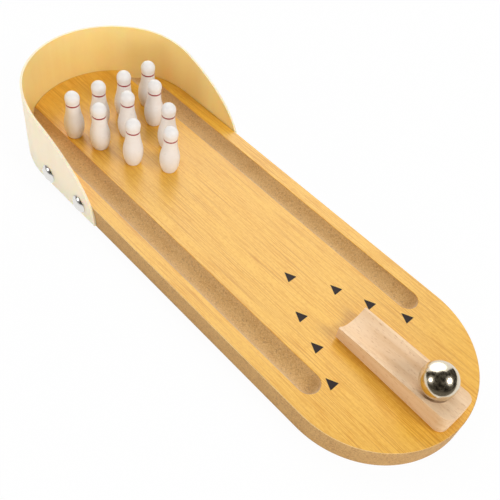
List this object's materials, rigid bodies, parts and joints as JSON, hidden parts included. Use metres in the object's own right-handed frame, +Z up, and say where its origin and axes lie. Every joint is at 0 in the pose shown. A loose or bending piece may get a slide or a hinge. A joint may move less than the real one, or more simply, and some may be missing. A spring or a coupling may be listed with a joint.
{
  "type": "tabletop bowling game",
  "caption": "Small tabletop bowling game: a laminated board with round-bottom gutters, a bent backstop wall, turned wooden pins, a loose grooved launching ramp and a polished steel ball.",
  "frame": {"origin": "on the table, under the middle of the whole object's length and width", "axes": "+X across the lane to the player's right, +Y along the lane from the ramp to the pins, +Z up"},
  "size_m": [0.1076, 0.2942, 0.0425],
  "materials": {
    "mdf": "raw routed MDF, fine even fibres",
    "lane_laminate": "honey wood-print laminate with straight grain, satin",
    "bent_sheet": "thin bent sheet, cream outside and honey inside, satin",
    "pin_paint": "white paint on turned wood, thin red ring at the neck",
    "beech": "sanded beech, fine flecks",
    "ball_steel": "polished steel",
    "tack_chrome": "bright chrome plate"
  },
  "bodies": {
    "board": {"base_board": "mdf", "lane_laminate": "lane_laminate", "backstop_wall": "bent_sheet", "wall_tack_left_front": "tack_chrome", "wall_tack_left_rear": "tack_chrome", "wall_tack_right_front": "tack_chrome", "wall_tack_right_rear": "tack_chrome"},
    "pin_1": {"pin_1": "pin_paint"},
    "pin_2": {"pin_2": "pin_paint"},
    "pin_3": {"pin_3": "pin_paint"},
    "pin_4": {"pin_4": "pin_paint"},
    "pin_5": {"pin_5": "pin_paint"},
    "pin_6": {"pin_6": "pin_paint"},
    "pin_7": {"pin_7": "pin_paint"},
    "pin_8": {"pin_8": "pin_paint"},
    "pin_9": {"pin_9": "pin_paint"},
    "pin_10": {"pin_10": "pin_paint"},
    "ramp": {"launch_ramp": "beech"},
    "ball": {"bowling_ball": "ball_steel"}
  },
  "joints": [
    {"name": "pin_1_lift", "type": "slide", "parent": "board", "child": "pin_1", "axis": [0, 0, 1], "range_m": [0, 0.06]},
    {"name": "pin_2_lift", "type": "slide", "parent": "board", "child": "pin_2", "axis": [0, 0, 1], "range_m": [0, 0.06]},
    {"name": "pin_3_lift", "type": "slide", "parent": "board", "child": "pin_3", "axis": [0, 0, 1], "range_m": [0, 0.06]},
    {"name": "pin_4_lift", "type": "slide", "parent": "board", "child": "pin_4", "axis": [0, 0, 1], "range_m": [0, 0.06]},
    {"name": "pin_5_lift", "type": "slide", "parent": "board", "child": "pin_5", "axis": [0, 0, 1], "range_m": [0, 0.06]},
    {"name": "pin_6_lift", "type": "slide", "parent": "board", "child": "pin_6", "axis": [0, 0, 1], "range_m": [0, 0.06]},
    {"name": "pin_7_lift", "type": "slide", "parent": "board", "child": "pin_7", "axis": [0, 0, 1], "range_m": [0, 0.06]},
    {"name": "pin_8_lift", "type": "slide", "parent": "board", "child": "pin_8", "axis": [0, 0, 1], "range_m": [0, 0.06]},
    {"name": "pin_9_lift", "type": "slide", "parent": "board", "child": "pin_9", "axis": [0, 0, 1], "range_m": [0, 0.06]},
    {"name": "pin_10_lift", "type": "slide", "parent": "board", "child": "pin_10", "axis": [0, 0, 1], "range_m": [0, 0.06]},
    {"name": "ramp_aim", "type": "slide", "parent": "board", "child": "ramp", "axis": [1, 0, 0], "range_m": [-0.008, 0.008]},
    {"name": "ball_roll", "type": "slide", "parent": "ramp", "child": "ball", "axis": [0.0278, 0.9959, -0.0861], "range_m": [0, 0.048]}
  ]
}
